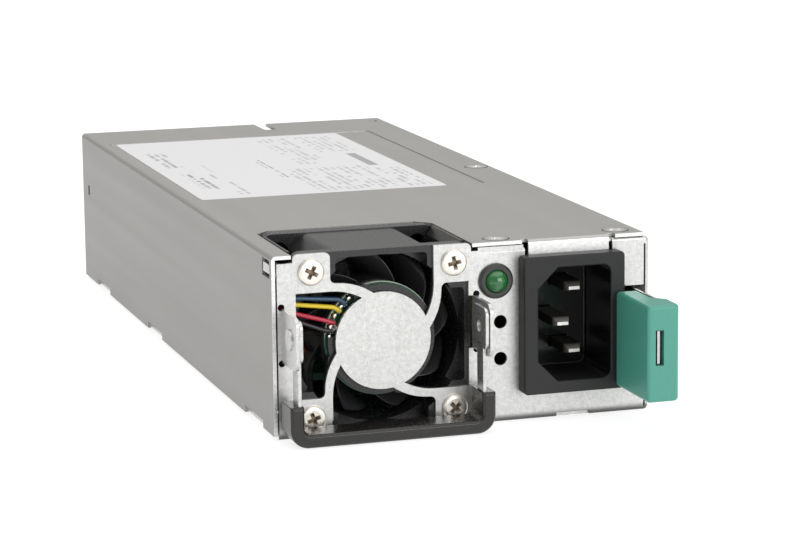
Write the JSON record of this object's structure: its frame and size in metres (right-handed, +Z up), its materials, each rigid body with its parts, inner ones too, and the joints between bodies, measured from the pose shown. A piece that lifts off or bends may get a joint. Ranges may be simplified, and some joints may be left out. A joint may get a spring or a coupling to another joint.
{
  "type": "hot swap server power supply",
  "caption": "Slim sheet-metal server power supply with a front fan behind a finger guard, mains inlet, status lamp, bail handle and sprung release latch",
  "frame": {"origin": "middle of the case's footprint, on the underside of the floor", "axes": "+Z up, +Y from the front panel with the handle to the rear with the card edge, +X towards the latch side"},
  "size_m": [0.0873, 0.2345, 0.0402],
  "materials": {
    "zinc_sheet": "zinc-coated steel sheet, matt grey",
    "label_film": "printed film, left without any wording",
    "nickel_screw": "nickel-plated steel",
    "fan_plastic": "black glass-filled plastic",
    "impeller_plastic": "black moulded plastic with a slight sheen",
    "bonded_magnet": "bonded ferrite",
    "ground_steel": "ground steel",
    "bearing_bronze": "sintered bronze",
    "stamped_core": "stacked steel stampings",
    "copper_wire": "enamelled copper wire",
    "circuit_board": "green solder mask on glass laminate",
    "wire_red": "red insulation",
    "wire_yellow": "yellow insulation",
    "wire_blue": "blue insulation",
    "wire_black": "black insulation",
    "white_nylon": "natural nylon",
    "lamp_lens": "green tinted epoxy lens",
    "bezel_plastic": "black moulded bezel",
    "tinned_wire": "tinned wire",
    "inlet_plastic": "black moulded thermoset, matt",
    "pin_nickel": "nickel-plated brass",
    "spring_steel": "stainless spring strip",
    "rivet_aluminium": "aluminium rivet",
    "touch_green": "teal green moulded plastic, satin",
    "bail_steel": "zinc-plated steel strip",
    "grip_plastic": "black moulded grip, satin",
    "gold_contact": "gold-plated contacts",
    "standoff_brass": "brass standoff",
    "insulating_film": "insulating film",
    "fuse_ceramic": "ceramic tube with plated caps",
    "film_capacitor_case": "yellow moulded case",
    "ferrite_core": "ferrite",
    "black_case": "black moulded case",
    "fin_aluminium": "extruded aluminium",
    "capacitor_sleeve": "dark shrink sleeve",
    "winding_tape": "yellow winding tape"
  },
  "bodies": {
    "case": {"chassis_base": "zinc_sheet", "top_cover": "zinc_sheet", "rating_label": "label_film", "cover_screws": "nickel_screw", "fan_frame": "fan_plastic", "fan_circuit_board": "circuit_board", "fan_stator_core": "stamped_core", "fan_windings": "copper_wire", "fan_bearings": "bearing_bronze", "fan_screws": "nickel_screw", "fan_wire_blue": "wire_blue", "fan_wire_yellow": "wire_yellow", "fan_wire_red": "wire_red", "fan_wire_black": "wire_black", "fan_socket": "white_nylon", "fan_plug": "white_nylon", "status_led_bezel": "bezel_plastic", "status_led": "lamp_lens", "led_leads": "tinned_wire", "inlet_housing": "inlet_plastic", "inlet_pin_line": "pin_nickel", "inlet_pin_neutral": "pin_nickel", "inlet_pin_earth": "pin_nickel", "latch_rivets": "rivet_aluminium", "main_board": "circuit_board", "edge_contacts": "gold_contact", "board_standoffs": "standoff_brass", "board_screws": "nickel_screw", "insulation_sheet": "insulating_film", "inlet_fuse": "fuse_ceramic", "fuse_clips": "tinned_wire", "x_capacitor": "film_capacitor_case", "filter_choke_core": "ferrite_core", "filter_choke_winding": "copper_wire", "inlet_relay": "black_case", "primary_heatsink": "fin_aluminium", "bridge_rectifier": "black_case", "power_transistors": "black_case", "boost_choke_core": "ferrite_core", "boost_choke_winding": "copper_wire", "bulk_capacitors": "capacitor_sleeve", "main_transformer_core": "ferrite_core", "main_transformer_winding": "winding_tape", "standby_transformer": "black_case", "secondary_heatsink": "fin_aluminium", "output_choke_core": "ferrite_core", "output_choke_winding": "copper_wire", "output_capacitors": "capacitor_sleeve", "control_card": "circuit_board", "control_chips": "black_case"},
    "fan_rotor": {"fan_impeller": "impeller_plastic", "fan_magnet_ring": "bonded_magnet", "fan_shaft": "ground_steel"},
    "latch": {"latch_spring": "spring_steel", "latch_tab": "touch_green"},
    "handle": {"handle_bail": "bail_steel", "handle_grip": "grip_plastic"}
  },
  "joints": [
    {"name": "fan_spin", "type": "hinge", "parent": "case", "child": "fan_rotor", "pos_m": [-0.01835, -0.0834, 0.02015], "axis": [0, 1, 0], "continuous": true},
    {"name": "latch_press", "type": "hinge", "parent": "case", "child": "latch", "pos_m": [0.0422, -0.038, 0.0176], "axis": [0, 0, -1], "range_deg": [0, 1.6], "stiffness_Nm_per_rad": 25},
    {"name": "bail_swing", "type": "hinge", "parent": "case", "child": "handle", "pos_m": [-0.0191, -0.1066, 0.0232], "axis": [-1, 0, 0], "range_deg": [0, 90]}
  ]
}
